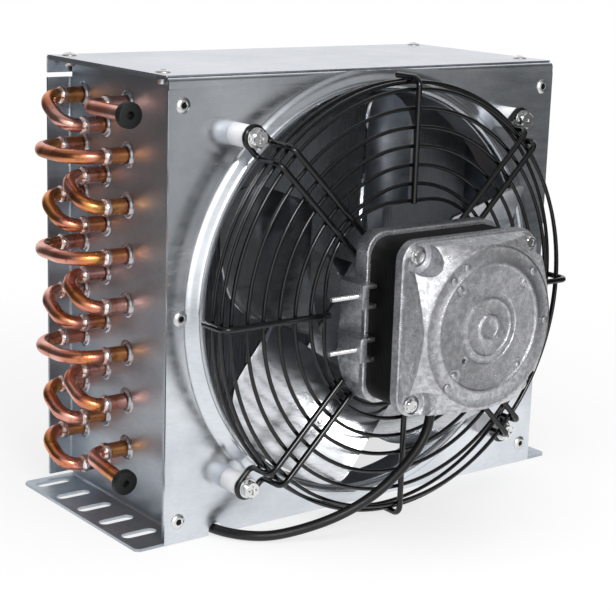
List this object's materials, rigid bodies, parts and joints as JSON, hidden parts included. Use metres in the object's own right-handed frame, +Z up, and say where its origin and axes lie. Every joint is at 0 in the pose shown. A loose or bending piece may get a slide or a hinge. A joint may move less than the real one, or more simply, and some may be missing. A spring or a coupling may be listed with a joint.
{
  "type": "air-cooled condenser",
  "caption": "Air-cooled condenser: finned copper coil in folded zinc-coated sheet, with a wire-guarded axial fan, its motor, slotted feet and capped connections.",
  "frame": {"origin": "middle of the pattern of foot slots, on the underside of the feet", "axes": "+Z up, +Y from the fan towards the coil, +X to the right seen from the fan's side"},
  "size_m": [0.2803, 0.203, 0.2272],
  "materials": {
    "front_sheet": "glossy rolled zinc, with soft reflections",
    "top_sheet": "bright rolled zinc",
    "tube_sheets": "rolled zinc, satin",
    "fins": "bare thin sheet",
    "copper_tube": "bare copper, heat tinted near the joints",
    "cap_rubber": "matte black",
    "rivets": "satin",
    "guard_wire": "glossy black coating",
    "spacer_plastic": "white moulded",
    "zinc_hardware": "bright zinc plate",
    "cast_shell": "die cast, lightly grained",
    "lamination": "black varnish over stacked sheets",
    "winding": "enamelled wire",
    "bearing_steel": "ground",
    "fan_sheet": "rolled sheet, satin",
    "gland_rubber": "matte black",
    "cord_jacket": "smooth black jacket",
    "cord_core": "bare stranded copper"
  },
  "bodies": {
    "condenser": {"cable_gland": "gland_rubber", "cord_cores": "cord_core", "cover_screws": "zinc_hardware", "crossover_bend_1": "copper_tube", "crossover_bend_2": "copper_tube", "crossover_bend_3": "copper_tube", "fins": "fins", "front_bearing": "bearing_steel", "front_rivets": "rivets", "front_shroud": "front_sheet", "guard_bolts": "zinc_hardware", "guard_double_ribs": "guard_wire", "guard_nuts": "zinc_hardware", "guard_rings": "guard_wire", "guard_single_ribs": "guard_wire", "guard_spacers": "spacer_plastic", "guard_washers": "zinc_hardware", "hairpin_tubes": "copper_tube", "inlet_cap": "cap_rubber", "inlet_pipe": "copper_tube", "left_tube_sheet": "tube_sheets", "motor_front_cover": "cast_shell", "motor_rear_shell": "cast_shell", "motor_screws": "zinc_hardware", "motor_washers": "zinc_hardware", "outlet_cap": "cap_rubber", "outlet_pipe": "copper_tube", "power_cord": "cord_jacket", "rear_bearing": "bearing_steel", "return_bend_1": "copper_tube", "return_bend_2": "copper_tube", "return_bend_3": "copper_tube", "return_bend_4": "copper_tube", "return_bend_5": "copper_tube", "return_bend_6": "copper_tube", "return_bend_7": "copper_tube", "return_bend_8": "copper_tube", "right_tube_sheet": "tube_sheets", "stator_stack": "lamination", "stator_windings": "winding", "terminal_studs": "zinc_hardware", "top_panel": "top_sheet", "top_rivets": "rivets"},
    "fan": {"fan_blade_1": "fan_sheet", "fan_blade_2": "fan_sheet", "fan_blade_3": "fan_sheet", "fan_blade_4": "fan_sheet", "fan_blade_5": "fan_sheet", "fan_hub": "fan_sheet", "fan_nut": "zinc_hardware", "motor_shaft": "bearing_steel", "rotor": "bearing_steel"}
  },
  "joints": [
    {"name": "fan_spin", "type": "hinge", "parent": "condenser", "child": "fan", "pos_m": [0, -0.08, 0.113], "axis": [0, 1, 0], "continuous": true}
  ]
}
